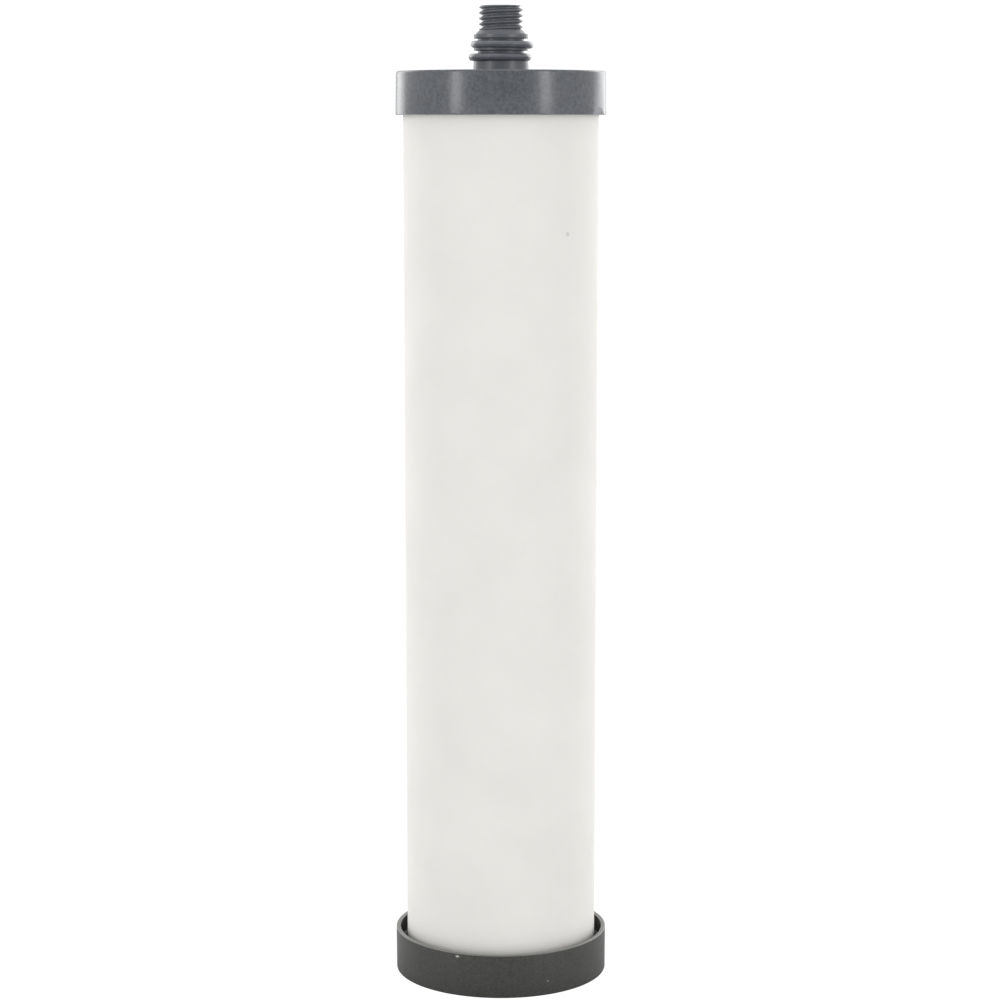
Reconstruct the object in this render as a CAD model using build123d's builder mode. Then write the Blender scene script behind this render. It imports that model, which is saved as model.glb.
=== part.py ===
from build123d import *

import os
from math import radians, tan

# Replaceable ceramic element of a hand-pumped water filter.
# Millimetres. +Z runs up the element's axis to the outlet spigot.
# The origin is the centre of the base cap's underside.

# Ceramic tube
ceramic_od = 50.0
ceramic_wall = 8.0
ceramic_length = 231.0
ceramic_edge = 0.6

# Base cap: a plain cup, wider than the tube that stands in it
base_floor = 2.0
base_wall = 1.15
base_gap = 1.8
base_height = 11.4
base_draft = 0.25
base_bottom_round = 0.3
base_rim_round = 0.3

# Adhesive: a bed under each end of the tube and a ring round its side
base_bed = 1.0
base_ring_height = 4.0
outlet_bed = 0.5
outlet_bond_gap = 0.3
outlet_bond_setback = 1.5

# Outlet cap
roof_thickness = 2.2
skirt_depth = 8.8
skirt_wall = 1.65
skirt_draft = 0.8
skirt_top_round = 0.6
gate_flat_depth = 0.3
gate_flat_height = 1.8
gate_flat_angle = -22.5

# Outlet spigot, from the cap's roof upwards
collar_height = 2.6
collar_flare = 0.15
land_od = 13.85
groove_depth = 1.02
lower_groove_play = 0.8
middle_land_width = 0.65
upper_groove_play = 0.6
flange_width = 1.05
land_edge = 0.15
shoulder_height = 1.3
shoulder_inset = 0.45
bore_d = 6.0
bore_mouth_chamfer = 0.4

# Moulded right-hand thread on the spigot's end: inch form of 55 degrees, 18 turns to the inch
thread_od = 11.11
thread_pitch = 1.411
thread_length = 5.85
thread_flank = 27.5
thread_start_angle = 90.0
thread_run_in = 1.94
thread_tip_chamfer = 0.5
thread_runout_depth = 0.5
thread_runout_height = 0.45

# O-rings, which lie loose round the floor of their grooves
ring_section = 1.78
ring_slack = 0.305

# Carbon core inside the ceramic tube
core_clearance = 0.5
wrap_thickness = 0.3
core_bore = 12.0
plug_flange = 2.0
plug_spigot = 6.0
plug_edge = 0.8
gasket_thickness = 2.5

# Locating nose under the roof, with the screen held in its end
nose_clearance = 0.4
nose_reach = 4.0
nose_wall = 1.4
screen_thickness = 0.8
retainer_thickness = 1.2

# Radii that follow from the sizes above
ceramic_r = ceramic_od / 2
ceramic_bore_r = ceramic_r - ceramic_wall
base_inner_r = ceramic_r + base_gap
base_rim_r = base_inner_r + base_wall
base_foot_r = base_rim_r - base_height * tan(radians(base_draft))
skirt_inner_r = ceramic_r + outlet_bond_gap
skirt_r = skirt_inner_r + skirt_wall
land_r = land_od / 2
groove_r = land_r - groove_depth
ring_r = groove_r + ring_slack + ring_section / 2
bore_r = bore_d / 2
wrap_r = ceramic_bore_r - core_clearance
core_r = wrap_r - wrap_thickness
core_bore_r = core_bore / 2
nose_r = core_bore_r - nose_clearance
screen_r = nose_r - nose_wall

# Thread form: flats at the crests and roots take a third off a sharp ridge's height
thread_depth = thread_pitch / 3 / tan(radians(thread_flank))
thread_crest = thread_pitch / 6
thread_sink = thread_pitch / 10
thread_r = thread_od / 2
root_r = thread_r - thread_depth

# Heights, from the base upwards
ceramic_bottom = base_floor + base_bed
ceramic_top = ceramic_bottom + ceramic_length
roof_bottom = ceramic_top + outlet_bed
roof_top = roof_bottom + roof_thickness
skirt_bottom = roof_bottom - skirt_depth
bond_bottom = skirt_bottom + outlet_bond_setback
lower_groove_bottom = roof_top + collar_height
lower_groove_top = lower_groove_bottom + ring_section + lower_groove_play
upper_groove_bottom = lower_groove_top + middle_land_width
upper_groove_top = upper_groove_bottom + ring_section + upper_groove_play
flange_top = upper_groove_top + flange_width
thread_bottom = flange_top + shoulder_height
spigot_top = thread_bottom + thread_length
core_bottom = ceramic_bottom + plug_flange
core_top = roof_bottom - gasket_thickness
nose_bottom = core_top - nose_reach
retainer_top = nose_bottom + retainer_thickness
screen_top = retainer_top + screen_thickness
skirt_top_r = skirt_r - (roof_top - skirt_bottom) * tan(radians(skirt_draft))
gate_flat_top = skirt_bottom + gate_flat_height
gate_flat_top_r = skirt_r - gate_flat_height * tan(radians(skirt_draft))

os.makedirs("parts", exist_ok=True)

# Base cap: an injection-moulded cup
with BuildPart() as base_cap:
    with BuildSketch(Plane.XY):
        Circle(base_foot_r)
    extrude(amount=base_height, taper=-base_draft)
    fillet(base_cap.edges().group_by(Axis.Z)[0], base_bottom_round)
    with BuildSketch(Plane.XY.offset(base_floor)):
        Circle(base_inner_r)
    extrude(amount=base_height - base_floor, mode=Mode.SUBTRACT)
    fillet(base_cap.edges().group_by(Axis.Z)[-1], base_rim_round)
base_cap.part.label = "base_cap"
export_step(base_cap.part, "parts/base_cap.step")

# Base bond: the adhesive poured into the cup, under the tube and part of the way up its side
with BuildPart() as base_bond:
    with BuildSketch(Plane.XY.offset(base_floor)):
        Circle(base_inner_r)
    extrude(amount=base_bed + base_ring_height)
    with BuildSketch(Plane.XY.offset(ceramic_bottom)):
        Circle(ceramic_r)
    extrude(amount=base_ring_height, mode=Mode.SUBTRACT)
base_bond.part.label = "base_bond"
export_step(base_bond.part, "parts/base_bond.step")

# Ceramic shell: the fired tube that the water is filtered through
with BuildPart() as ceramic_shell:
    with BuildSketch(Plane.XY.offset(ceramic_bottom)):
        Circle(ceramic_r)
        Circle(ceramic_bore_r, mode=Mode.SUBTRACT)
    extrude(amount=ceramic_length)
    inner_edges = ceramic_shell.edges().filter_by(GeomType.CIRCLE).sort_by(SortBy.RADIUS)[:2]
    chamfer(inner_edges, ceramic_edge)
ceramic_shell.part.label = "ceramic_shell"
export_step(ceramic_shell.part, "parts/ceramic_shell.step")

# Core plug: closes the lower end of the carbon core's bore
with BuildPart() as core_plug:
    with BuildSketch(Plane.XY.offset(ceramic_bottom)):
        Circle(wrap_r)
    extrude(amount=plug_flange)
    with BuildSketch(Plane.XY.offset(core_bottom)):
        Circle(core_bore_r)
    extrude(amount=plug_spigot)
    chamfer(core_plug.edges().group_by(Axis.Z)[-1], plug_edge)
core_plug.part.label = "core_plug"
export_step(core_plug.part, "parts/core_plug.step")

# Carbon core: an extruded block of activated carbon
with BuildPart() as carbon_core:
    with BuildSketch(Plane.XY.offset(core_bottom)):
        Circle(core_r)
        Circle(core_bore_r, mode=Mode.SUBTRACT)
    extrude(amount=core_top - core_bottom)
carbon_core.part.label = "carbon_core"
export_step(carbon_core.part, "parts/carbon_core.step")

# Core wrap: non-woven sleeve that keeps carbon dust in
with BuildPart() as core_wrap:
    with BuildSketch(Plane.XY.offset(core_bottom)):
        Circle(wrap_r)
        Circle(core_r, mode=Mode.SUBTRACT)
    extrude(amount=core_top - core_bottom)
core_wrap.part.label = "core_wrap"
export_step(core_wrap.part, "parts/core_wrap.step")

# Core gasket: seals the core's upper end to the outlet cap
with BuildPart() as core_gasket:
    with BuildSketch(Plane.XY.offset(core_top)):
        Circle(wrap_r)
        Circle(nose_r, mode=Mode.SUBTRACT)
    extrude(amount=gasket_thickness)
core_gasket.part.label = "core_gasket"
export_step(core_gasket.part, "parts/core_gasket.step")

# Screen retainer: ring pressed into the end of the nose
with BuildPart() as screen_retainer:
    with BuildSketch(Plane.XY.offset(nose_bottom)):
        Circle(screen_r)
        Circle(bore_r, mode=Mode.SUBTRACT)
    extrude(amount=retainer_thickness)
screen_retainer.part.label = "screen_retainer"
export_step(screen_retainer.part, "parts/screen_retainer.step")

# Outlet screen: porous disc across the outlet bore
with BuildPart() as outlet_screen:
    with BuildSketch(Plane.XY.offset(retainer_top)):
        Circle(screen_r)
    extrude(amount=screen_thickness)
outlet_screen.part.label = "outlet_screen"
export_step(outlet_screen.part, "parts/outlet_screen.step")

# Outlet bond: adhesive over the tube's upper end and down inside the skirt
with BuildPart() as outlet_bond:
    with BuildSketch(Plane.XY.offset(bond_bottom)):
        Circle(skirt_inner_r)
    extrude(amount=roof_bottom - bond_bottom)
    with BuildSketch(Plane.XY.offset(bond_bottom)):
        Circle(ceramic_r)
    extrude(amount=ceramic_top - bond_bottom, mode=Mode.SUBTRACT)
    with BuildSketch(Plane.XY.offset(ceramic_top)):
        Circle(ceramic_bore_r)
    extrude(amount=outlet_bed, mode=Mode.SUBTRACT)
outlet_bond.part.label = "outlet_bond"
export_step(outlet_bond.part, "parts/outlet_bond.step")

# Outlet cap: skirt, roof, spigot and nose in one moulding. The spigot is first made one pitch too long,
# then its thread ridge is swept up a helix that starts inside the shoulder, and last its end is trimmed.
stub_top = spigot_top + thread_pitch
ridge_start = thread_bottom - thread_run_in
ridge_height = stub_top - ridge_start - thread_pitch / 10
crest_half = thread_crest / 2
foot_half = crest_half + (thread_depth + thread_sink) * tan(radians(thread_flank))
trim_r = thread_r + thread_pitch
chamfer_foot = spigot_top - thread_tip_chamfer - thread_pitch
mouth_bottom = spigot_top - bore_mouth_chamfer
with BuildPart() as outlet_cap:
    with BuildSketch(Plane.XZ) as profile:
        with BuildLine():
            Polyline(
                (bore_r, nose_bottom),
                (nose_r, nose_bottom),
                (nose_r, roof_bottom),
                (skirt_inner_r, roof_bottom),
                (skirt_inner_r, skirt_bottom),
                (skirt_r, skirt_bottom),
                (skirt_top_r, roof_top),
                (land_r + collar_flare, roof_top),
                (land_r, lower_groove_bottom),
                (groove_r, lower_groove_bottom),
                (groove_r, lower_groove_top),
                (land_r, lower_groove_top),
                (land_r, upper_groove_bottom),
                (groove_r, upper_groove_bottom),
                (groove_r, upper_groove_top),
                (land_r, upper_groove_top),
                (land_r, flange_top - land_edge),
                (land_r - land_edge, flange_top),
                (land_r - shoulder_inset, flange_top),
                (root_r + thread_runout_depth, thread_bottom),
                (root_r, thread_bottom + thread_runout_height),
                (root_r, stub_top),
                (bore_r, stub_top),
                close=True,
            )
        make_face()
        fillet(profile.vertices().sort_by_distance(Vector(skirt_top_r, roof_top))[0], skirt_top_round)
    revolve(axis=Axis.Z)
    with BuildLine(Plane.XY.offset(ridge_start).rotated((0, 0, thread_start_angle))):
        Helix(pitch=thread_pitch, height=ridge_height, radius=root_r)
    with BuildSketch(Plane.XZ.rotated((0, 0, thread_start_angle))):
        with BuildLine():
            Polyline(
                (root_r - thread_sink, ridge_start - foot_half),
                (thread_r, ridge_start - crest_half),
                (thread_r, ridge_start + crest_half),
                (root_r - thread_sink, ridge_start + foot_half),
                close=True,
            )
        make_face()
    sweep(is_frenet=True)
    with BuildSketch(Plane.XZ):
        with BuildLine():
            Polyline(
                (0, mouth_bottom),
                (bore_r, mouth_bottom),
                (bore_r + bore_mouth_chamfer, spigot_top),
                (thread_r - thread_tip_chamfer, spigot_top),
                (trim_r, chamfer_foot),
                (trim_r, stub_top + thread_pitch),
                (0, stub_top + thread_pitch),
                close=True,
            )
        make_face()
    revolve(axis=Axis.Z, mode=Mode.SUBTRACT)
    with BuildSketch(Plane.XY.offset(nose_bottom)):
        Circle(screen_r)
    extrude(amount=screen_top - nose_bottom, mode=Mode.SUBTRACT)
    with BuildSketch(Plane.XZ.rotated((0, 0, gate_flat_angle))):
        with BuildLine():
            Polyline(
                (skirt_r - gate_flat_depth, skirt_bottom),
                (skirt_r, skirt_bottom),
                (skirt_r, gate_flat_top),
                (gate_flat_top_r, gate_flat_top),
                close=True,
            )
        make_face()
    extrude(amount=skirt_inner_r / 2, both=True, mode=Mode.SUBTRACT)
outlet_cap.part.label = "outlet_cap"
export_step(outlet_cap.part, "parts/outlet_cap.step")

# O-rings, each lying on the lower side of its groove
ring_floors = {"lower_o_ring": lower_groove_bottom, "upper_o_ring": upper_groove_bottom}
for ring_name, ring_floor in ring_floors.items():
    with BuildPart() as o_ring:
        with BuildSketch(Plane.XZ):
            with Locations((ring_r, ring_floor + ring_section / 2)):
                Circle(ring_section / 2)
        revolve(axis=Axis.Z)
    o_ring.part.label = ring_name
    export_step(o_ring.part, f"parts/{ring_name}.step")
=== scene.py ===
from math import atan, cos, pi, radians, sin, tan

import bmesh
import bpy
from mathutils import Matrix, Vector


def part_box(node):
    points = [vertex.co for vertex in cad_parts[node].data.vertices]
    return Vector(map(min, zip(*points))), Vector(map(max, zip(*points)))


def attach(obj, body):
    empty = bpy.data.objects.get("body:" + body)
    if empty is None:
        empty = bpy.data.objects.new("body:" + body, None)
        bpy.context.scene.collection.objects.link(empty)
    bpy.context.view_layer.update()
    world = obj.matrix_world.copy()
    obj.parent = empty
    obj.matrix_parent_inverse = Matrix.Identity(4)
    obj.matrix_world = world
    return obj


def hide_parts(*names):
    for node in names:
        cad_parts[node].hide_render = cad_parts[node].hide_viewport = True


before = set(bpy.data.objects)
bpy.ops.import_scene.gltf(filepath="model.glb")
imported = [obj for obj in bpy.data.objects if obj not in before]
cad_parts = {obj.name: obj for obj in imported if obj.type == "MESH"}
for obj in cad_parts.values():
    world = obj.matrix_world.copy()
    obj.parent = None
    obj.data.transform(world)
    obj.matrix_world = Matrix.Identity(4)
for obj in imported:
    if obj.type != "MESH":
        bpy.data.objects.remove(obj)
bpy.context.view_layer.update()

mm = 0.001
weld = mm / 1000      # vertices nearer than this are merged
bevelSteps = 4      # faces across a rounded corner
noiseLow, noiseHigh = 0.3, 0.7      # nearly all of a noise texture lies between these


def deselectAll():
    if bpy.context.object and bpy.context.object.mode != "OBJECT":
        bpy.ops.object.mode_set(mode="OBJECT")
    bpy.ops.object.select_all(action="DESELECT")


def onlySelect(piece):
    deselectAll()
    piece.select_set(True)
    bpy.context.view_layer.objects.active = piece


def applyModifier(piece, kind, **settings):
    onlySelect(piece)
    modifier = piece.modifiers.new(kind.lower(), kind)
    for key, value in settings.items():
        setattr(modifier, key, value)
    bpy.ops.object.modifier_apply(modifier=modifier.name)


def combine(piece, tool, operation):
    # joins or cuts with another closed shape, which is then thrown away
    applyModifier(piece, "BOOLEAN", object=tool, operation=operation, solver="EXACT")
    mesh = tool.data
    bpy.data.objects.remove(tool)
    bpy.data.meshes.remove(mesh)


def selectVertices(piece, wanted):
    # edit mode: selects the vertices that a test on their place picks out
    bpy.ops.mesh.select_mode(type="VERT")
    bpy.ops.mesh.select_all(action="DESELECT")
    shape = bmesh.from_edit_mesh(piece.data)
    for vertex in shape.verts:
        vertex.select = wanted(vertex.co)
    shape.select_flush(True)
    bmesh.update_edit_mesh(piece.data)


def drawProfile(name, points, closed, azimuth=0.0):
    # a half section drawn as by hand: one vertex, extruded from point to point
    # each point is (radius, height, rounding) in mm
    turn = (cos(azimuth), sin(azimuth))
    places = [(r * turn[0] * mm, r * turn[1] * mm, z * mm) for r, z, rounding in points]
    deselectAll()
    bpy.ops.mesh.primitive_plane_add(size=mm, location=places[0])
    profile = bpy.context.object
    profile.name = name
    profile.data.name = name
    bpy.ops.object.transform_apply(location=True, rotation=True, scale=True)
    bpy.ops.object.mode_set(mode="EDIT")
    bpy.ops.mesh.select_all(action="SELECT")
    bpy.ops.mesh.merge(type="CENTER")
    route = places[1:] + places[:1] if closed else places[1:]
    here = places[0]
    for there in route:
        step = tuple(b - a for a, b in zip(here, there))
        bpy.ops.mesh.extrude_vertices_move(TRANSFORM_OT_translate={"value": step})
        here = there
    bpy.ops.mesh.select_all(action="SELECT")
    bpy.ops.mesh.remove_doubles(threshold=weld)
    for place, (r, z, rounding) in zip(places, points):
        if rounding:
            selectVertices(profile, lambda co: all(abs(a - b) < 2 * weld for a, b in zip(co, place)))
            bpy.ops.mesh.bevel(offset=rounding * mm, segments=bevelSteps, affect="VERTICES",
                               clamp_overlap=True)
    bpy.ops.mesh.select_all(action="SELECT")
    return profile


def turnOnLathe(name, points, steps, closed=True):
    # spins a half section round the Z axis into a closed shape
    piece = drawProfile(name, points, closed)
    bpy.ops.mesh.spin(steps=steps, angle=2 * pi, center=(0, 0, 0), axis=(0, 0, 1), use_auto_merge=True)
    finishShape(piece)
    return piece


def finishShape(piece):
    bpy.ops.mesh.select_all(action="SELECT")
    bpy.ops.mesh.remove_doubles(threshold=weld)
    bpy.ops.mesh.dissolve_degenerate(threshold=weld / 10)
    bpy.ops.mesh.select_all(action="SELECT")
    bpy.ops.mesh.normals_make_consistent(inside=False)
    bpy.ops.object.mode_set(mode="OBJECT")


def smooth(piece, angle):
    onlySelect(piece)
    bpy.ops.object.shade_smooth_by_angle(angle=radians(angle))


def standIn(piece, node, material):
    # the finished piece takes a CAD node's place
    piece.data.materials.clear()
    piece.data.materials.append(material)
    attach(piece, "root")
    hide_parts(node)


def reach(node):
    # a node's radius, foot and top in mm, read from its CAD part
    low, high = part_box(node)
    return high.x / mm, low.z / mm, high.z / mm


def linear(hexColour):
    # sRGB hex to a linear colour
    values = []
    for i in (1, 3, 5):
        v = int(hexColour[i:i + 2], 16) / 255
        values.append(v / 12.92 if v <= 0.04045 else ((v + 0.055) / 1.055) ** 2.4)
    return (*values, 1.0)


def perSize(size):
    # noise scale for a feature of this many mm, on coordinates in metres
    return 1 / (size * mm)


def addNode(tree, kind, settings=None, inputs=None, links=None):
    # one node with its settings, its fixed inputs and what feeds the others
    node = tree.nodes.new(kind)
    for key, value in (settings or {}).items():
        setattr(node, key, value)
    for key, value in (inputs or {}).items():
        node.inputs[key].default_value = value
    for key, (source, output) in (links or {}).items():
        tree.links.new(source.outputs[output], node.inputs[key])
    return node


def newMaterial(name):
    material = bpy.data.materials.new(name)
    material.use_nodes = True
    material.node_tree.nodes.clear()
    return material, material.node_tree


def setRamp(ramp, stops):
    # stops are (position, hex colour)
    ramp.color_ramp.interpolation = "B_SPLINE"
    elements = ramp.color_ramp.elements
    while len(elements) < len(stops):
        elements.new(0.5)
    for element, (position, colour) in zip(elements, stops):
        element.position = position
        element.color = linear(colour)


def finishMaterial(tree, shader):
    addNode(tree, "ShaderNodeOutputMaterial", links={"Surface": (shader, "BSDF")})


def makeFiredCeramic(settings):
    # Diatomite ceramic, fired and left unglazed. A dry, chalky off-white with a soft mottle from the
    # firing, fine open pores and one small grey inclusion near the top.
    material, tree = newMaterial("firedDiatomiteCeramic")
    place = addNode(tree, "ShaderNodeTexCoord")
    mottle = addNode(tree, "ShaderNodeTexNoise",
                     inputs={"Scale": perSize(settings["mottle"]), "Detail": 4, "Roughness": 0.55},
                     links={"Vector": (place, "Object")})
    tone = addNode(tree, "ShaderNodeValToRGB", links={"Fac": (mottle, "Fac")})
    setRamp(tone, [(0.3, settings["shade"]), (0.5, settings["body"]), (0.72, settings["light"])])
    pores = addNode(tree, "ShaderNodeTexNoise",
                    inputs={"Scale": perSize(settings["pore"]), "Detail": 3, "Roughness": 0.6},
                    links={"Vector": (place, "Object")})
    poreTone = addNode(tree, "ShaderNodeMapRange",
                       inputs={"From Min": 0.35, "From Max": 0.65, "To Min": 1 - settings["poreShade"],
                               "To Max": 1.0},
                       links={"Value": (pores, "Fac")})
    bodyColour = addNode(tree, "ShaderNodeMix", settings={"data_type": "RGBA", "blend_type": "MULTIPLY"},
                         inputs={"Factor": 1.0},
                         links={6: (tone, "Color"), 7: (poreTone, "Result")})
    wobble = addNode(tree, "ShaderNodeTexNoise",
                     inputs={"Scale": perSize(settings["inclusionRagged"] * 2), "Detail": 2},
                     links={"Vector": (place, "Object")})
    shifted = addNode(tree, "ShaderNodeMapRange",
                      inputs={"To Min": -settings["inclusionRagged"] * mm,
                              "To Max": settings["inclusionRagged"] * mm},
                      links={"Value": (wobble, "Fac")})
    away = addNode(tree, "ShaderNodeVectorMath", settings={"operation": "DISTANCE"},
                   inputs={1: settings["inclusion"]},
                   links={0: (place, "Object")})
    ragged = addNode(tree, "ShaderNodeMath", settings={"operation": "ADD"},
                     links={0: (away, "Value"), 1: (shifted, "Result")})
    inclusion = addNode(tree, "ShaderNodeMapRange",
                        inputs={"From Min": settings["inclusionCore"] * mm,
                                "From Max": settings["inclusionEdge"] * mm, "To Min": 1.0, "To Max": 0.0},
                        links={"Value": (ragged, "Value")})
    colour = addNode(tree, "ShaderNodeMix", settings={"data_type": "RGBA"},
                     inputs={7: linear(settings["inclusionColour"])},
                     links={"Factor": (inclusion, "Result"), 6: (bodyColour, 2)})
    height = addNode(tree, "ShaderNodeMath", settings={"operation": "MULTIPLY_ADD"},
                     inputs={1: 0.35},
                     links={0: (mottle, "Fac"), 2: (pores, "Fac")})
    bump = addNode(tree, "ShaderNodeBump",
                   inputs={"Strength": settings["poreStrength"], "Distance": settings["poreDepth"] * mm},
                   links={"Height": (height, "Value")})
    rough = addNode(tree, "ShaderNodeMapRange",
                    inputs={"To Min": settings["roughLow"], "To Max": settings["roughHigh"]},
                    links={"Value": (pores, "Fac")})
    shader = addNode(tree, "ShaderNodeBsdfPrincipled",
                     inputs={"IOR": settings["ior"], "Metallic": 0.0},
                     links={"Base Color": (colour, 2), "Roughness": (rough, "Result"),
                            "Normal": (bump, "Normal")})
    finishMaterial(tree, shader)
    return material


def makeMouldedPlastic(name, settings):
    # Injection-moulded thermoplastic. The tool's finish sets the grain: polished gives long soft
    # reflections, spark-eroded gives an even matt. Handling leaves faint lighter scuffs.
    material, tree = newMaterial(name)
    place = addNode(tree, "ShaderNodeTexCoord")
    flow = addNode(tree, "ShaderNodeTexNoise",
                   inputs={"Scale": perSize(settings["flow"]), "Detail": 3, "Roughness": 0.5},
                   links={"Vector": (place, "Object")})
    tone = addNode(tree, "ShaderNodeValToRGB", links={"Fac": (flow, "Fac")})
    setRamp(tone, [(noiseLow, settings["dark"]), (0.5, settings["body"]), (noiseHigh, settings["light"])])
    grain = addNode(tree, "ShaderNodeTexNoise",
                    inputs={"Scale": perSize(settings["grain"]), "Detail": 2, "Roughness": 0.5},
                    links={"Vector": (place, "Object")})
    scuffs = addNode(tree, "ShaderNodeTexNoise",
                     inputs={"Scale": perSize(settings["scuffSize"]), "Detail": 6, "Roughness": 0.7,
                             "Distortion": 1.5},
                     links={"Vector": (place, "Object")})
    scuffed = addNode(tree, "ShaderNodeMapRange",
                      inputs={"From Min": 0.6, "From Max": 0.78, "To Min": 0.0,
                              "To Max": settings["scuffAmount"]},
                      links={"Value": (scuffs, "Fac")})
    speck = addNode(tree, "ShaderNodeMapRange",
                    inputs={"From Min": noiseLow, "From Max": noiseHigh, "To Min": 1 - settings["speckle"],
                            "To Max": 1 + settings["speckle"]},
                    links={"Value": (grain, "Fac")})
    speckled = addNode(tree, "ShaderNodeMix", settings={"data_type": "RGBA", "blend_type": "MULTIPLY"},
                       inputs={"Factor": 1.0}, links={6: (tone, "Color"), 7: (speck, "Result")})
    colour = addNode(tree, "ShaderNodeMix", settings={"data_type": "RGBA"},
                     inputs={7: linear(settings["scuffColour"])},
                     links={"Factor": (scuffed, "Result"), 6: (speckled, 2)})
    split = addNode(tree, "ShaderNodeSeparateXYZ", links={"Vector": (place, "Object")})
    # a mark is an oval with a ragged edge
    for mark in settings.get("marks", []):
        offset = addNode(tree, "ShaderNodeVectorMath", settings={"operation": "SUBTRACT"},
                         inputs={1: mark["at"]}, links={0: (place, "Object")})
        oval = addNode(tree, "ShaderNodeVectorMath", settings={"operation": "MULTIPLY"},
                       inputs={1: (1, 1, mark["flatness"])}, links={0: (offset, "Vector")})
        away = addNode(tree, "ShaderNodeVectorMath", settings={"operation": "LENGTH"},
                       links={0: (oval, "Vector")})
        ragged = addNode(tree, "ShaderNodeMath", settings={"operation": "MULTIPLY_ADD"},
                         inputs={1: mark["size"] * mm}, links={0: (grain, "Fac"), 2: (away, "Value")})
        there = addNode(tree, "ShaderNodeMapRange",
                        inputs={"From Min": mark["size"] * 0.7 * mm, "From Max": mark["size"] * 1.1 * mm,
                                "To Min": mark["amount"], "To Max": 0.0},
                        links={"Value": (ragged, "Value")})
        colour = addNode(tree, "ShaderNodeMix", settings={"data_type": "RGBA"},
                         inputs={7: linear(mark["colour"])},
                         links={"Factor": (there, "Result"), 6: (colour, 2)})
    rough = addNode(tree, "ShaderNodeMapRange",
                    inputs={"From Min": noiseLow, "From Max": noiseHigh, "To Min": settings["roughLow"],
                            "To Max": settings["roughHigh"]},
                    links={"Value": (flow, "Fac")})
    # from a height upwards the roughness changes and the colour is replaced: the outlet cap's spigot end was
    # moulded rougher, while the base cup's rim top gets a smoother finish and a painted highlight
    zones = []
    if "above" in settings:
        zone = settings["above"]
        edge = (zone["height"] * mm, (zone["height"] + 0.1) * mm)
        zones.append((zone, split, "Z", edge))
    # what lies on the plane of the trimmed gate is pale and matt
    if "trimmed" in settings:
        zone = settings["trimmed"]
        onPlane = addNode(tree, "ShaderNodeVectorMath", settings={"operation": "DOT_PRODUCT"},
                          inputs={1: zone["normal"]}, links={0: (place, "Object")})
        edge = (zone["distance"] - 0.03 * mm, zone["distance"] - 0.01 * mm)
        zones.append((zone, onPlane, "Value", edge))
    for zone, source, output, (low, high) in zones:
        inside = addNode(tree, "ShaderNodeMapRange", inputs={"From Min": low, "From Max": high},
                         links={"Value": (source, output)})
        rough = addNode(tree, "ShaderNodeMath", settings={"operation": "MULTIPLY_ADD"},
                        inputs={1: zone["rougher"]}, links={0: (inside, "Result"), 2: (rough, 0)})
        colour = addNode(tree, "ShaderNodeMix", settings={"data_type": "RGBA"},
                         inputs={7: linear(zone["colour"])},
                         links={"Factor": (inside, "Result"), 6: (colour, 2)})
    bump = addNode(tree, "ShaderNodeBump",
                   inputs={"Strength": settings["grainStrength"], "Distance": settings["grainDepth"] * mm},
                   links={"Height": (grain, "Fac")})
    shader = addNode(tree, "ShaderNodeBsdfPrincipled",
                     inputs={"IOR": settings["ior"], "Metallic": 0.0},
                     links={"Base Color": (colour, 2), "Roughness": (rough, 0),
                            "Normal": (bump, "Normal")})
    finishMaterial(tree, shader)
    return material


tube = {
    "wall": 8.0,
    "endRound": 0.6,
    "steps": 256,
    "rings": 24,
    "smoothAngle": 35,
}

ceramic = {
    "body": "#DEDCD8",
    "shade": "#DBD9D5",
    "light": "#E1DFDB",
    "mottle": 22.0,
    "pore": 0.35,
    "poreShade": 0.015,
    "poreStrength": 0.35,
    "poreDepth": 0.03,
    "roughLow": 0.72,
    "roughHigh": 0.9,
    "ior": 1.5,
    "inclusion": (0.01672, -0.01859, 0.1962),
    "inclusionCore": 0.25,
    "inclusionEdge": 0.7,
    "inclusionRagged": 0.45,
    "inclusionColour": "#C4C3BF",
}


def buildTube():
    radius, foot, top = reach("ceramic_shell")
    bore = radius - tube["wall"]
    rounding = tube["endRound"]
    piece = turnOnLathe("ceramicTube", [
        (bore, foot, rounding),
        (radius, foot, rounding),
        (radius, top, rounding),
        (bore, top, rounding),
    ], tube["steps"])
    bpy.ops.object.mode_set(mode="EDIT")
    for i in range(1, tube["rings"]):      # rings along the length, so that no face is a long sliver
        height = (foot + (top - foot) * i / tube["rings"]) * mm
        bpy.ops.mesh.select_all(action="SELECT")
        bpy.ops.mesh.bisect(plane_co=(0, 0, height), plane_no=(0, 0, 1))
    bpy.ops.object.mode_set(mode="OBJECT")
    smooth(piece, tube["smoothAngle"])
    standIn(piece, "ceramic_shell", makeFiredCeramic(ceramic))
    print("ceramic tube", len(piece.data.polygons), "faces")


cap = {
    "roof": 2.2,
    "skirtDepth": 8.8,
    "skirtWall": 1.65,
    "skirtDraft": 0.8,
    "skirtEdge": 0.25,
    "topRound": 0.6,
    "noseRadius": 5.6,
    "screenRadius": 4.2,
    "boreRadius": 3.0,
    "mouthChamfer": 0.4,
    "landRadius": 6.925,
    "grooveRadius": 5.905,
    "collarHeight": 2.6,
    "collarFlare": 0.15,
    "lowerGroove": 2.58,
    "middleLand": 0.65,
    "upperGroove": 2.38,
    "flange": 1.05,
    "shoulder": 1.3,
    "shoulderInset": 0.45,
    "edge": 0.12,
    "noseRound": 0.3,
    "collarRound": 0.25,
    "grooveRound": 0.2,
    "shoulderRound": 0.1,
    "steps": 256,
    "cutterSteps": 128,
    "cutterSpare": 1.0,
    "smoothAngle": 28,
}

thread = {
    "radius": 5.555,
    "pitch": 1.411,
    "flank": 27.5,
    "runIn": 1.94,
    "tipChamfer": 0.5,
    "crestRound": 0.09,
    "runoutDepth": 0.5,
    "runoutHeight": 0.45,
    "footRound": 0.3,
    "rootRound": 0.15,
    "startAzimuth": 90,
    "stepsPerTurn": 96,
}

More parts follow.
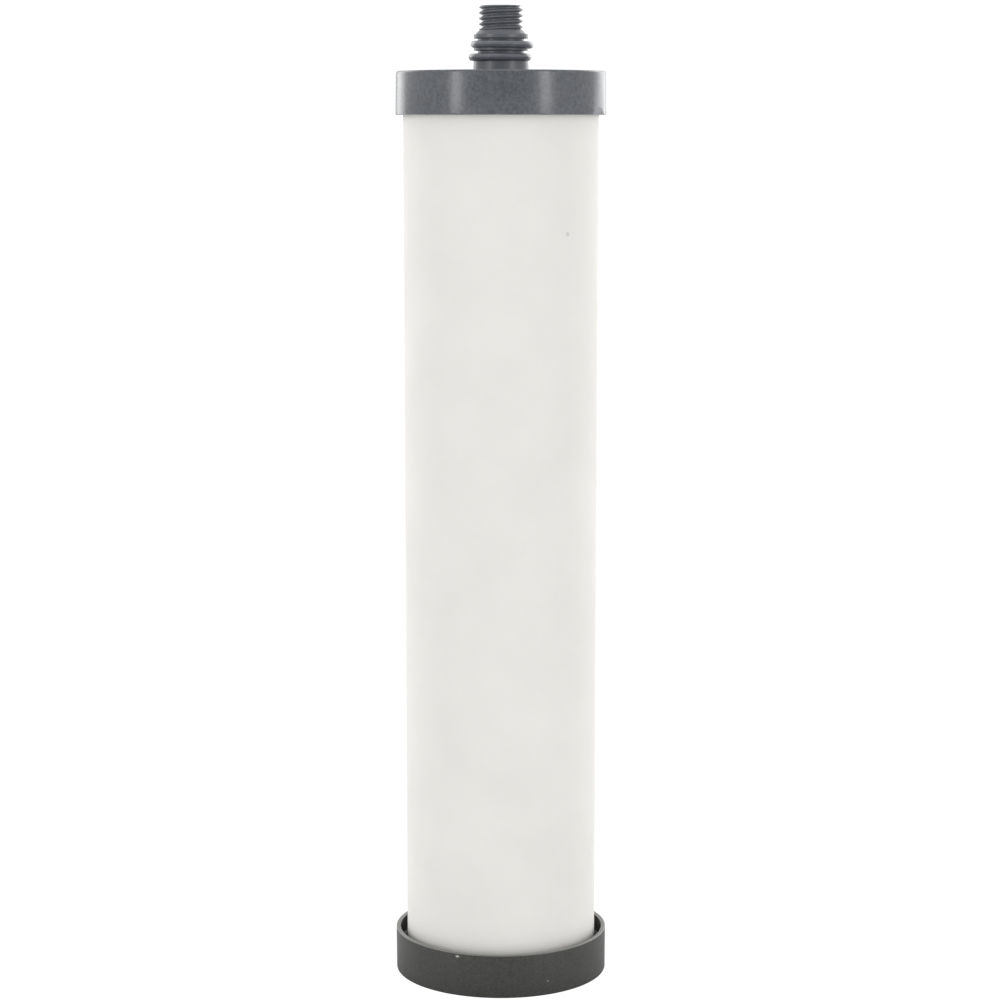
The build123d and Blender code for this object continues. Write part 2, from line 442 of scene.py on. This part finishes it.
gateFlat = {
    "azimuth": -22.5,
    "depth": 0.3,
    "height": 1.8,
    "block": 4.0,
}

greyPlastic = {
    "body": "#515459",
    "dark": "#4F5257",
    "light": "#53565B",
    "flow": 14.0,
    "grain": 0.8,
    "speckle": 0.24,
    "grainStrength": 0.2,
    "grainDepth": 0.012,
    "roughLow": 0.24,
    "roughHigh": 0.3,
    "above": {"height": 236.8, "rougher": 0.12, "colour": "#585B60"},
    "ior": 1.54,
    "scuffSize": 1.5,
    "scuffAmount": 0.03,
    "scuffColour": "#6A6D73",
}

gateFinish = {
    "rougher": 0.3,
    "colour": "#7C7F84",
}


def buildCap():
    skirtRadius, skirtFoot, spigotTop = reach("outlet_cap")
    roofUnder = skirtFoot + cap["skirtDepth"]
    roof = roofUnder + cap["roof"]
    noseFoot = reach("screen_retainer")[1]
    screenTop = reach("outlet_screen")[2]
    skirtTop = skirtRadius - (roof - skirtFoot) * tan(radians(cap["skirtDraft"]))
    skirtInside = skirtRadius - cap["skirtWall"]
    land, groove, edge = cap["landRadius"], cap["grooveRadius"], cap["edge"]
    corner = cap["grooveRound"]
    lowerFloor = roof + cap["collarHeight"]
    lowerTop = lowerFloor + cap["lowerGroove"]
    upperFloor = lowerTop + cap["middleLand"]
    upperTop = upperFloor + cap["upperGroove"]
    flangeTop = upperTop + cap["flange"]
    threadFoot = flangeTop + cap["shoulder"]
    depth = thread["pitch"] / 3 / tan(radians(thread["flank"]))      # 55 degree inch form, crests cut flat
    root = thread["radius"] - depth
    stub = spigotTop + thread["pitch"]
    piece = turnOnLathe("outletCap", [
        (cap["boreRadius"], screenTop, 0),
        (cap["screenRadius"], screenTop, 0),
        (cap["screenRadius"], noseFoot, edge),
        (cap["noseRadius"], noseFoot, cap["noseRound"]),
        (cap["noseRadius"], roofUnder, cap["noseRound"]),
        (skirtInside, roofUnder, cap["noseRound"]),
        (skirtInside, skirtFoot, edge),
        (skirtRadius, skirtFoot, cap["skirtEdge"]),
        (skirtTop, roof, cap["topRound"]),
        (land + cap["collarFlare"], roof, cap["collarRound"]),
        (land, lowerFloor, edge),
        (groove, lowerFloor, corner),
        (groove, lowerTop, corner),
        (land, lowerTop, edge),
        (land, upperFloor, edge),
        (groove, upperFloor, corner),
        (groove, upperTop, corner),
        (land, upperTop, edge),
        (land, flangeTop, edge),
        (land - cap["shoulderInset"], flangeTop, cap["shoulderRound"]),
        (root + thread["runoutDepth"], threadFoot, thread["footRound"]),
        (root, threadFoot + thread["runoutHeight"], thread["rootRound"]),
        (root, stub, 0),
        (cap["boreRadius"], stub, 0),
    ], cap["steps"])

    # thread ridge: a trapezoid screwed up the spigot, its foot sunk in the wall
    sink = thread["pitch"] / 10
    crest = thread["pitch"] / 12
    footHalf = crest + (depth + sink) * tan(radians(thread["flank"]))
    start = threadFoot - thread["runIn"]
    turns = (stub - start - sink) / thread["pitch"]
    ridge = drawProfile("threadRidge", [
        (root - sink, start - footHalf, 0),
        (thread["radius"], start - crest, thread["crestRound"]),
        (thread["radius"], start + crest, thread["crestRound"]),
        (root - sink, start + footHalf, 0),
    ], True, azimuth=radians(thread["startAzimuth"]))
    bpy.ops.object.mode_set(mode="OBJECT")
    steps = round(thread["stepsPerTurn"] * turns)
    applyModifier(ridge, "SCREW", axis="Z", angle=2 * pi * turns, screw_offset=thread["pitch"] * turns * mm,
                  iterations=1, steps=steps, render_steps=steps, use_merge_vertices=False)
    bpy.ops.object.mode_set(mode="EDIT")
    bpy.ops.mesh.select_all(action="SELECT")
    bpy.ops.mesh.fill_holes(sides=0)
    finishShape(ridge)
    combine(piece, ridge, "UNION")

    # the long spigot is cut to its end, with the lead-in chamfer outside and the mouth chamfer inside
    spare = cap["cutterSpare"]
    trim = thread["radius"] + spare
    chamferFoot = spigotTop - thread["tipChamfer"] - spare
    cutter = turnOnLathe("spigotCutter", [
        (0, spigotTop - cap["mouthChamfer"] - cap["boreRadius"], 0),
        (cap["boreRadius"] + cap["mouthChamfer"], spigotTop, 0),
        (thread["radius"] - thread["tipChamfer"], spigotTop, 0),
        (trim, chamferFoot, 0),
        (trim, stub + spare, 0),
        (0, stub + spare, 0),
    ], cap["cutterSteps"], closed=False)
    combine(piece, cutter, "DIFFERENCE")

    # small flat at the skirt's foot, where the moulding gate was trimmed off
    azimuth = radians(gateFlat["azimuth"])
    draftAtTop = gateFlat["height"] * tan(radians(cap["skirtDraft"]))
    lean = atan((gateFlat["depth"] - draftAtTop) / gateFlat["height"])
    deselectAll()
    bpy.ops.mesh.primitive_cube_add(size=gateFlat["block"] * mm, location=(0, 0, 0))
    block = bpy.context.object
    block.name = "gateBlock"
    bpy.ops.object.mode_set(mode="EDIT")
    bpy.ops.transform.resize(value=(1, 4, 2))
    bpy.ops.object.mode_set(mode="OBJECT")
    outward = (cos(azimuth) * cos(lean), sin(azimuth) * cos(lean), -sin(lean))
    faceRadius = skirtRadius - gateFlat["depth"]
    plane = (cos(azimuth) * faceRadius * mm, sin(azimuth) * faceRadius * mm, skirtFoot * mm)
    trimmed = dict(gateFinish, normal=outward, distance=sum(a * b for a, b in zip(outward, plane)))
    block.rotation_euler = (0, lean, azimuth)
    block.location = [a + gateFlat["block"] / 2 * mm * b for a, b in zip(plane, outward)]
    bpy.ops.object.transform_apply(location=True, rotation=True, scale=True)
    combine(piece, block, "DIFFERENCE")

    bpy.ops.object.mode_set(mode="EDIT")
    finishShape(piece)
    smooth(piece, cap["smoothAngle"])
    material = makeMouldedPlastic("mouldedGreyAbs", dict(greyPlastic, trimmed=trimmed))
    standIn(piece, "outlet_cap", material)
    print("outlet cap", len(piece.data.polygons), "faces")


ring = {
    "section": 1.78,
    "flash": 0.04,
    "sides": 40,
    "steps": 192,
    "smoothAngle": 40,
    "lower_o_ring": {"shift": (-0.23, 0.0, 0.0), "tilt": 0.0},
    "upper_o_ring": {"shift": (0.31, 0.0, -0.1), "tilt": 0.7},
}

rubber = {
    "body": "#5F6268",
    "dark": "#5A5D63",
    "light": "#64676D",
    "flow": 2.5,
    "grain": 0.4,
    "speckle": 0.1,
    "grainStrength": 0.15,
    "grainDepth": 0.008,
    "roughLow": 0.18,
    "roughHigh": 0.28,
    "ior": 1.52,
    "scuffSize": 1.2,
    "scuffAmount": 0.1,
    "scuffColour": "#73777D",
}


def buildRing(node, material):
    radius, foot, top = reach(node)
    middle = radius - ring["section"] / 2
    height = (foot + top) / 2
    deselectAll()
    bpy.ops.mesh.primitive_circle_add(vertices=ring["sides"], radius=ring["section"] / 2 * mm,
                                      location=(middle * mm, 0, height * mm), rotation=(pi / 2, 0, 0))
    piece = bpy.context.object
    piece.name = node.replace("_o_ring", "SealRing")
    piece.data.name = piece.name
    bpy.ops.object.transform_apply(location=True, rotation=True, scale=True)
    bpy.ops.object.mode_set(mode="EDIT")
    # mould flash round the outside
    selectVertices(piece, lambda co: co.x > radius * mm - weld)
    bpy.ops.transform.translate(value=(ring["flash"] * mm, 0, 0))
    bpy.ops.mesh.select_all(action="SELECT")
    bpy.ops.mesh.spin(steps=ring["steps"], angle=2 * pi, center=(0, 0, 0), axis=(0, 0, 1),
                      use_auto_merge=True)
    finishShape(piece)
    # tilted about its own middle, then shifted to where it lies in the groove
    tilt = radians(ring[node]["tilt"])
    aside, along, up = (step * mm for step in ring[node]["shift"])
    pivot = height * mm
    piece.rotation_euler = (0, tilt, 0)
    piece.location = (aside - pivot * sin(tilt), along, up + pivot * (1 - cos(tilt)))
    onlySelect(piece)
    bpy.ops.object.transform_apply(location=True, rotation=True, scale=True)
    smooth(piece, ring["smoothAngle"])
    standIn(piece, node, material)
    print(piece.name, len(piece.data.polygons), "faces")


cup = {
    "floor": 2.0,
    "insideRadius": 26.8,
    "draft": 0.25,
    "footRound": 0.3,
    "rimRound": 0.2,
    "floorRound": 0.5,
    "steps": 256,
    "smoothAngle": 35,
}

potting = {
    "meniscus": 0.7,
    "steps": 192,
    "smoothAngle": 50,
}

mattPlastic = {
    "body": "#31312F",
    "dark": "#2F2F2D",
    "light": "#333331",
    "flow": 12.0,
    "grain": 0.55,
    "speckle": 0.3,
    "grainStrength": 0.5,
    "grainDepth": 0.03,
    "roughLow": 0.46,
    "roughHigh": 0.54,
    # the rim top is painted much lighter than the wall: a painted highlight where the rim faces the top
    # light, on a smoother finish
    "above": {"height": 11.22, "rougher": -0.2, "colour": "#6E6F6B"},
    "ior": 1.5,
    "scuffSize": 1.6,
    "scuffAmount": 0.15,
    "scuffColour": "#575850",
    "marks": [
        # a nick in the rim, and a pale speck low on the wall
        {"at": (-0.0113, -0.0256, 0.0106), "size": 1.0, "flatness": 1.8, "amount": 0.9,
         "colour": "#C9C9C2"},
        {"at": (0.0122, -0.0252, 0.0038), "size": 0.5, "flatness": 1.2, "amount": 0.55,
         "colour": "#A0A09C"},
    ],
}

resin = {
    "body": "#26262A",
    "dark": "#222225",
    "light": "#2B2B2E",
    "flow": 4.0,
    "grain": 1.2,
    "speckle": 0.05,
    "grainStrength": 0.15,
    "grainDepth": 0.05,
    "roughLow": 0.4,
    "roughHigh": 0.5,
    "ior": 1.54,
    "scuffSize": 2.0,
    "scuffAmount": 0.1,
    "scuffColour": "#4A4A4C",
}


def buildCup():
    rim, foot, top = reach("base_cap")
    footRadius = rim - top * tan(radians(cup["draft"]))
    piece = turnOnLathe("baseCup", [
        (0, foot, 0),
        (footRadius, foot, cup["footRound"]),
        (rim, top, cup["rimRound"]),
        (cup["insideRadius"], top, cup["rimRound"]),
        (cup["insideRadius"], cup["floor"], cup["floorRound"]),
        (0, cup["floor"], 0),
    ], cup["steps"], closed=False)
    smooth(piece, cup["smoothAngle"])
    material = makeMouldedPlastic("sparkTexturedPolypropylene", mattPlastic)
    standIn(piece, "base_cap", material)
    print("base cup", len(piece.data.polygons), "faces")


def buildPotting(material):
    radius, foot, top = reach("base_bond")
    tubeRadius, tubeFoot = reach("ceramic_shell")[:2]
    climb = potting["meniscus"]
    middle = (radius + tubeRadius) / 2
    piece = turnOnLathe("basePotting", [
        (0, foot, 0),
        (radius, foot, cup["floorRound"]),
        (radius, top + climb, 0),
        (radius - climb / 4, top + climb / 3, 0.1),
        (middle, top, 0.3),
        (tubeRadius + climb / 4, top + climb / 3, 0.1),
        (tubeRadius, top + climb, 0),
        (tubeRadius, tubeFoot, 0),
        (0, tubeFoot, 0),
    ], potting["steps"], closed=False)
    smooth(piece, potting["smoothAngle"])
    standIn(piece, "base_bond", material)
    print("base potting", len(piece.data.polygons), "faces")


def clothe(node, material):
    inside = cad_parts[node]
    inside.data.materials.clear()
    inside.data.materials.append(material)


inner = {
    "carbon_core": ("extrudedActivatedCarbon", {
        "body": "#1A1A1B", "dark": "#111112", "light": "#262627", "flow": 1.4, "grain": 0.4, "speckle": 0.08,
        "grainStrength": 0.8, "grainDepth": 0.12, "roughLow": 0.8, "roughHigh": 0.95, "ior": 1.6,
        "scuffSize": 0.8, "scuffAmount": 0.3, "scuffColour": "#3A3A3B"}),
    "core_wrap": ("spunbondPolyesterFleece", {
        "body": "#E6E6E3", "dark": "#DADAD6", "light": "#F0F0EE", "flow": 0.8, "grain": 0.2, "speckle": 0.08,
        "grainStrength": 0.9, "grainDepth": 0.08, "roughLow": 0.85, "roughHigh": 0.95, "ior": 1.5,
        "scuffSize": 0.5, "scuffAmount": 0.4, "scuffColour": "#F8F8F6"}),
    "core_plug": ("naturalPolypropylene", {
        "body": "#DDDDD8", "dark": "#D4D4CF", "light": "#E4E4E0", "flow": 6.0, "grain": 0.4, "speckle": 0.08,
        "grainStrength": 0.3, "grainDepth": 0.02, "roughLow": 0.4, "roughHigh": 0.5, "ior": 1.49,
        "scuffSize": 1.5, "scuffAmount": 0.15, "scuffColour": "#F2F2EF"}),
    "core_gasket": ("mouldedSilicone", {
        "body": "#34353A", "dark": "#303136", "light": "#393A3F", "flow": 5.0, "grain": 0.25, "speckle": 0.08,
        "grainStrength": 0.3, "grainDepth": 0.02, "roughLow": 0.5, "roughHigh": 0.6, "ior": 1.41,
        "scuffSize": 1.5, "scuffAmount": 0.2, "scuffColour": "#505157"}),
    "screen_retainer": ("naturalPolypropylene", None),
    "outlet_screen": ("sinteredPolyethylene", {
        "body": "#E9E9E6", "dark": "#CFCFCB", "light": "#F4F4F2", "flow": 0.3, "grain": 0.25, "speckle": 0.08,
        "grainStrength": 0.9, "grainDepth": 0.1, "roughLow": 0.7, "roughHigh": 0.85, "ior": 1.51,
        "scuffSize": 0.4, "scuffAmount": 0.4, "scuffColour": "#B9B9B5"}),
}


def clotheInside(resinMaterial):
    made = {}
    for node, (name, settings) in inner.items():
        if name not in made:
            made[name] = makeMouldedPlastic(name, settings)
        clothe(node, made[name])
    clothe("outlet_bond", resinMaterial)
    print("inner pieces clothed:", len(inner) + 1)


stage = {
    "floorRadius": 6.0,
    "floorSides": 96,
    "floorColour": "#EEEEEE",
    "skyFront": 0.38,
    "skySide": 0.94,
    "seenSky": 1.05,
    "frontEnd": -0.95,
    "sideStart": -0.3,
}

# azimuth runs from the camera's side, positive to the right; aim is the height that a lamp faces
lamps = {
    "rightSoftbox": {
        "azimuth": 49, "elevation": 14, "distance": 1.2, "aim": 0.14,
        "width": 0.2, "height": 0.85, "power": 3.3},
    "leftSoftbox": {
        "azimuth": -49, "elevation": 14, "distance": 1.2, "aim": 0.14,
        "width": 0.2, "height": 0.85, "power": 3.3},
    "rightBackSoftbox": {
        "azimuth": 146, "elevation": 15, "distance": 1.2, "aim": 0.14,
        "width": 0.62, "height": 0.9, "power": 4.0},
    "leftBackSoftbox": {
        "azimuth": -142, "elevation": 15, "distance": 1.2, "aim": 0.14,
        "width": 0.5, "height": 0.9, "power": 3.2},
    "topSoftbox": {
        "azimuth": 0, "elevation": 80, "distance": 1.6, "aim": 0.12,
        "width": 1.2, "height": 1.2, "power": 3.0},
}

lens = {
    "focal": 94.43,
    "sensor": 36.0,
    "distance": 0.6793,
    "height": 0.2241,
    "side": -0.00023,
    "down": 9.087,
    "rise": 0.0408,
}


def buildStage():
    deselectAll()
    bpy.ops.mesh.primitive_circle_add(vertices=stage["floorSides"], radius=stage["floorRadius"],
                                      fill_type="NGON", location=(0, 0, 0))
    floor = bpy.context.object
    floor.name = "floor"
    material, tree = newMaterial("paintedSweep")      # lights the object as pale grey, and is seen as white
    paint = addNode(tree, "ShaderNodeBsdfDiffuse", inputs={"Color": linear(stage["floorColour"])})
    white = addNode(tree, "ShaderNodeEmission", inputs={"Strength": stage["seenSky"]})
    path = addNode(tree, "ShaderNodeLightPath")
    mixed = addNode(tree, "ShaderNodeMixShader",
                    links={"Fac": (path, "Is Camera Ray"), 1: (paint, "BSDF"), 2: (white, "Emission")})
    addNode(tree, "ShaderNodeOutputMaterial", links={"Surface": (mixed, "Shader")})
    floor.data.materials.append(material)

    world = bpy.data.worlds.new("studio")
    bpy.context.scene.world = world
    world.use_nodes = True
    tree = world.node_tree
    tree.nodes.clear()
    place = addNode(tree, "ShaderNodeTexCoord")
    split = addNode(tree, "ShaderNodeSeparateXYZ", links={"Vector": (place, "Generated")})
    light = addNode(tree, "ShaderNodeMapRange",
                    inputs={"From Min": stage["frontEnd"], "From Max": stage["sideStart"],
                            "To Min": stage["skyFront"], "To Max": stage["skySide"]},
                    links={"Value": (split, "Y")})
    lit = addNode(tree, "ShaderNodeBackground", inputs={"Color": (1, 1, 1, 1)},
                  links={"Strength": (light, "Result")})
    seen = addNode(tree, "ShaderNodeBackground", inputs={"Color": (1, 1, 1, 1), "Strength": stage["seenSky"]})
    path = addNode(tree, "ShaderNodeLightPath")
    mixed = addNode(tree, "ShaderNodeMixShader",
                    links={"Fac": (path, "Is Camera Ray"), 1: (lit, "Background"), 2: (seen, "Background")})
    addNode(tree, "ShaderNodeOutputWorld", links={"Surface": (mixed, "Shader")})

    for name, place in lamps.items():
        data = bpy.data.lights.new(name, "AREA")
        data.shape = "RECTANGLE"
        data.size = place["width"]
        data.size_y = place["height"]
        data.energy = place["power"]
        lamp = bpy.data.objects.new(name, data)
        bpy.context.collection.objects.link(lamp)
        a, e, distance = radians(place["azimuth"]), radians(place["elevation"]), place["distance"]
        lamp.location = (distance * sin(a) * cos(e), -distance * cos(a) * cos(e),
                         place["aim"] + distance * sin(e))
        lamp.rotation_euler = (pi / 2 - e, 0, a)
        lamp.visible_camera = False

    data = bpy.data.cameras.new("camera")
    data.lens = lens["focal"]
    data.sensor_width = lens["sensor"]
    data.shift_y = lens["rise"]
    data.clip_start = 0.01
    data.clip_end = 50.0
    camera = bpy.data.objects.new("camera", data)
    bpy.context.collection.objects.link(camera)
    camera.location = (lens["side"], -lens["distance"], lens["height"])
    camera.rotation_euler = (pi / 2 - radians(lens["down"]), 0, 0)
    bpy.context.scene.camera = camera
    bpy.context.scene.view_settings.view_transform = "Standard"
    print("stage ready")


buildTube()
buildCap()
ringRubber = makeMouldedPlastic("greasedNitrileRubber", rubber)
buildRing("lower_o_ring", ringRubber)
buildRing("upper_o_ring", ringRubber)
buildCup()
pottingResin = makeMouldedPlastic("curedPottingResin", resin)
buildPotting(pottingResin)
clotheInside(pottingResin)
buildStage()
